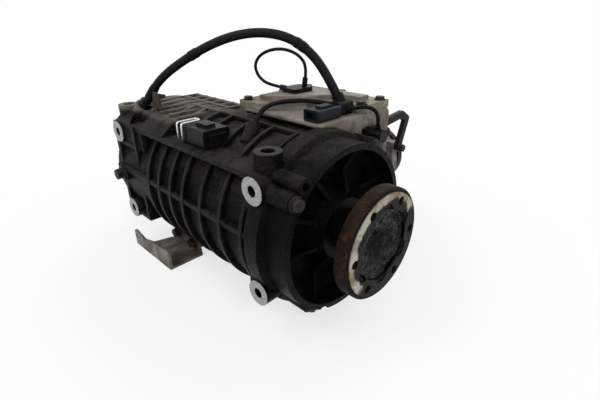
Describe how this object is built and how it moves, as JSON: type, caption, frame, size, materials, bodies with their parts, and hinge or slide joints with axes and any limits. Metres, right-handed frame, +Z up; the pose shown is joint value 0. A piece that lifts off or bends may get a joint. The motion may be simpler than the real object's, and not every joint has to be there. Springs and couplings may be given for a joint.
{
  "type": "rear_differential",
  "caption": "Rear axle final drive: dark ribbed barrel case with open end bell, grease-filled output flange, pale pinion carrier, locking clutch inside and looped wiring harness.",
  "frame": {"origin": "centre of the right output flange's face", "axes": "+X out of the right output flange along the axle, +Y towards the input flange, +Z up"},
  "size_m": [0.4112, 0.3113, 0.2814],
  "materials": {
    "dark_casting": "cast, oily and dusty",
    "pale_casting": "cast aluminium, weathered",
    "rusty_steel": "forged, surface rust",
    "bolt_steel": "plated, dull",
    "zinc_sheet": "dull zinc with rust tint",
    "black_paint": "painted, satin",
    "black_plastic": "moulded",
    "blue_plastic": "moulded",
    "black_rubber": "matt",
    "bright_wire": "bright",
    "pale_gasket": "matt, stained",
    "dark_grease": "glossy grease",
    "ground_steel": "ground, oiled",
    "cast_iron": "cast, machined faces",
    "friction_lining": "fibrous",
    "coil_winding": "varnished winding in a steel cup"
  },
  "bodies": {
    "housing": {"bell_bolts": "bolt_steel", "bracket_bolts": "bolt_steel", "branch_boot": "black_rubber", "carrier_bolts": "bolt_steel", "clutch_coil": "coil_winding", "coil_lead": "black_rubber", "connector_clip": "bright_wire", "end_bell": "dark_casting", "fill_plug": "bolt_steel", "front_connector": "black_plastic", "harness_clip": "rusty_steel", "harness_gland": "black_plastic", "lead_grommet": "black_plastic", "left_carrier_cup": "ground_steel", "left_cover": "dark_casting", "left_cover_bolts": "bolt_steel", "left_output_bearing": "ground_steel", "left_output_seal": "black_rubber", "loop_bracket": "black_paint", "main_harness": "black_rubber", "pinion_bearing_cups": "ground_steel", "pinion_carrier": "pale_casting", "pinion_seal": "black_rubber", "rear_connector": "blue_plastic", "ribbed_case": "dark_casting", "right_carrier_cup": "ground_steel", "right_output_bearing": "ground_steel", "right_output_seal": "black_rubber", "sensor_lead": "black_rubber", "small_bolts": "bolt_steel", "speed_sensor": "black_plastic", "stepped_cover": "pale_casting", "support_bracket": "zinc_sheet", "vent_fitting": "black_plastic", "vent_hose": "black_rubber"},
    "carrier": {"differential_case": "cast_iron", "ring_gear": "ground_steel", "ring_gear_bolts": "bolt_steel", "cross_pin": "ground_steel", "right_carrier_cone": "ground_steel", "left_carrier_cone": "ground_steel", "clutch_drum": "cast_iron", "steel_plates": "ground_steel"},
    "pinion": {"drive_pinion": "ground_steel", "input_flange": "rusty_steel", "pinion_nut": "bolt_steel", "pinion_bearing_cones": "ground_steel"},
    "right_side": {"right_side_gear": "ground_steel", "right_output_shaft": "rusty_steel", "flange_gasket": "pale_gasket", "joint_grease": "dark_grease", "right_output_race": "ground_steel"},
    "left_side": {"left_side_gear": "ground_steel", "left_output_shaft": "rusty_steel", "clutch_hub": "ground_steel", "friction_plates": "friction_lining", "left_output_race": "ground_steel"},
    "upper_spider": {"upper_spider_gear": "ground_steel"},
    "lower_spider": {"lower_spider_gear": "ground_steel"},
    "pressure": {"pressure_ring": "ground_steel"}
  },
  "joints": [
    {"name": "carrier_spin", "type": "hinge", "parent": "housing", "child": "carrier", "pos_m": [-0.15, 0, 0], "axis": [1, 0, 0], "continuous": true},
    {"name": "pinion_spin", "type": "hinge", "parent": "housing", "child": "pinion", "pos_m": [-0.15, 0, 0], "axis": [0, 1, 0], "continuous": true},
    {"name": "right_side_spin", "type": "hinge", "parent": "carrier", "child": "right_side", "pos_m": [-0.15, 0, 0], "axis": [1, 0, 0], "continuous": true},
    {"name": "left_side_spin", "type": "hinge", "parent": "carrier", "child": "left_side", "pos_m": [-0.15, 0, 0], "axis": [1, 0, 0], "continuous": true},
    {"name": "upper_spider_spin", "type": "hinge", "parent": "carrier", "child": "upper_spider", "pos_m": [-0.15, 0, 0], "axis": [0, 0, 1], "continuous": true},
    {"name": "lower_spider_spin", "type": "hinge", "parent": "carrier", "child": "lower_spider", "pos_m": [-0.15, 0, 0], "axis": [0, 0, 1], "continuous": true},
    {"name": "pressure_slide", "type": "slide", "parent": "carrier", "child": "pressure", "axis": [1, 0, 0], "range_m": [0, 0.0012]}
  ],
  "couplings": [
    {"joint": "pinion_spin", "follows": "carrier_spin", "ratio": -3.3636},
    {"joint": "left_side_spin", "follows": "right_side_spin", "ratio": -1},
    {"joint": "upper_spider_spin", "follows": "right_side_spin", "ratio": -1.4},
    {"joint": "lower_spider_spin", "follows": "right_side_spin", "ratio": 1.4}
  ]
}
